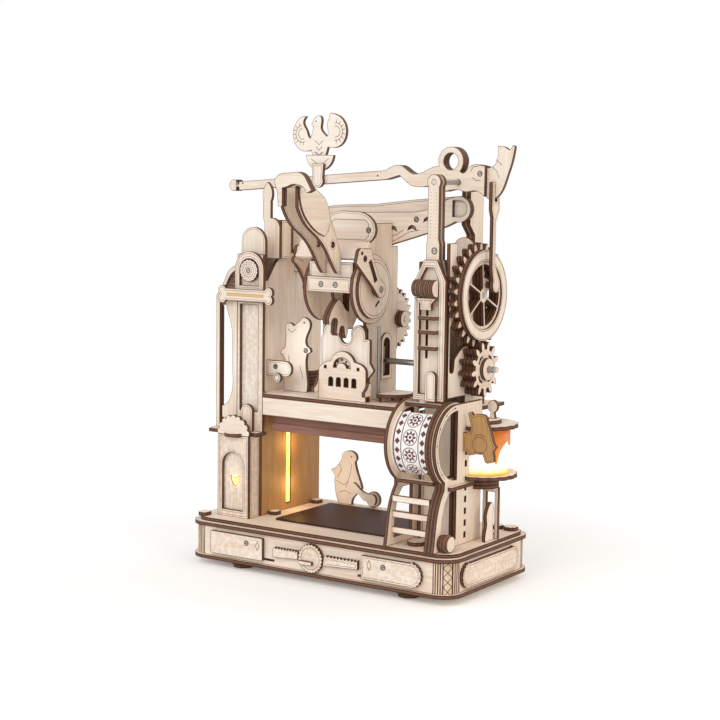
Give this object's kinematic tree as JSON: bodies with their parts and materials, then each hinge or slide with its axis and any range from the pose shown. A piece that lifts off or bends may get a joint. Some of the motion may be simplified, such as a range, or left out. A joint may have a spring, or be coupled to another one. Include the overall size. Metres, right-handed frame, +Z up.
{
  "type": "wooden mechanical puzzle",
  "caption": "Laser-cut plywood model of an old hand printing press, with a pull lever, a sinking platen, a rocking beam and turning gears.",
  "frame": {"origin": "under the middle of the base, on the plane of the feet", "axes": "+Z up, +X towards the big gear at the right end, +Y to the back"},
  "size_m": [0.2835, 0.175, 0.38],
  "materials": {
    "plywood": "laser-cut birch plywood, pale faces and burnt brown edges",
    "steel": "drawn steel pin",
    "dark_card": "dark stained board",
    "printed_paper": "printed card, dark maroon on white",
    "clear_glass": "clear bent sheet",
    "amber_resin": "glossy amber",
    "lamp": "warm lamp",
    "black_plastic": "moulded"
  },
  "bodies": {
    "frame": {"arcade": "plywood", "band_core": "plywood", "base_feet": "plywood", "base_floor": "plywood", "base_frame": "plywood", "base_lid": "plywood", "base_trim": "plywood", "battery_box": "black_plastic", "bed_plate": "dark_card", "cart_bear": "plywood", "centre_plate": "plywood", "crosshead": "plywood", "deck_fittings": "plywood", "deck_plate": "plywood", "fan_shelf": "plywood", "honey_pot": "plywood", "jar_bears": "plywood", "jar_glass": "clear_glass", "jar_honey": "amber_resin", "jar_shelves": "plywood", "kiosk_roof": "plywood", "kiosk_walls": "plywood", "ladder_bars": "plywood", "ladder_left": "plywood", "ladder_right": "plywood", "lamps": "lamp", "left_bay": "plywood", "left_crown": "plywood", "left_inner_wall": "plywood", "left_ornaments": "plywood", "left_tower_face": "plywood", "left_tower_walls": "plywood", "pot_bear": "plywood", "press_table": "plywood", "print_band": "printed_paper", "right_columns": "plywood", "right_lower_walls": "plywood", "right_neck": "plywood", "right_tower_frame": "plywood", "right_tower_walls": "plywood", "sign_board": "plywood", "steel_pins": "steel", "tower_ornaments": "plywood"},
    "platen": {"platen": "plywood", "lift_rods": "steel"},
    "cart_wheel": {"cart_wheel": "plywood"},
    "gear": {"big_gear": "plywood", "crank_wheel": "plywood"},
    "shaft": {"pinions": "plywood", "main_shaft": "steel"},
    "idler": {"idler_gear": "plywood"},
    "lever": {"drum_discs": "plywood", "drum_bars": "plywood", "drum_links": "plywood", "drum_claw": "plywood", "lever_grip": "plywood", "lever_hood": "plywood"},
    "beam": {"beam": "plywood", "eagle": "plywood"},
    "rod": {"hanging_rod": "plywood"}
  },
  "joints": [
    {"name": "gear_spin", "type": "hinge", "parent": "frame", "child": "gear", "pos_m": [0.106, 0.007, 0.2355], "axis": [1, 0, 0], "continuous": true},
    {"name": "pinion_spin", "type": "hinge", "parent": "frame", "child": "shaft", "pos_m": [0.06, 0.007, 0.177], "axis": [1, 0, 0], "continuous": true},
    {"name": "idler_spin", "type": "hinge", "parent": "frame", "child": "idler", "pos_m": [0.015, 0.0272, 0.21036], "axis": [1, 0, 0], "continuous": true},
    {"name": "lever_pull", "type": "hinge", "parent": "frame", "child": "lever", "pos_m": [0, -0.0195, 0.2375], "axis": [1, 0, 0], "range_deg": [0, 35]},
    {"name": "platen_press", "type": "slide", "parent": "frame", "child": "platen", "axis": [0, 0, 1], "range_m": [-0.06, 0]},
    {"name": "beam_rock", "type": "hinge", "parent": "frame", "child": "beam", "pos_m": [0.088, 0.0085, 0.324], "axis": [0, 1, 0], "range_deg": [-3, 30]},
    {"name": "rod_swing", "type": "hinge", "parent": "beam", "child": "rod", "pos_m": [0.1185, 0.0085, 0.3207], "axis": [0, 1, 0], "range_deg": [-34.5, 3.6]},
    {"name": "cart_wheel_spin", "type": "hinge", "parent": "frame", "child": "cart_wheel", "pos_m": [-0.0215, 0.0568, 0.0473], "axis": [0, 1, 0], "continuous": true}
  ],
  "couplings": [
    {"joint": "pinion_spin", "follows": "gear_spin", "ratio": -2},
    {"joint": "idler_spin", "follows": "gear_spin", "ratio": 1.25},
    {"joint": "platen_press", "follows": "lever_pull", "m_per_rad": -0.09806},
    {"joint": "rod_swing", "follows": "beam_rock", "ratio": -1.14}
  ]
}
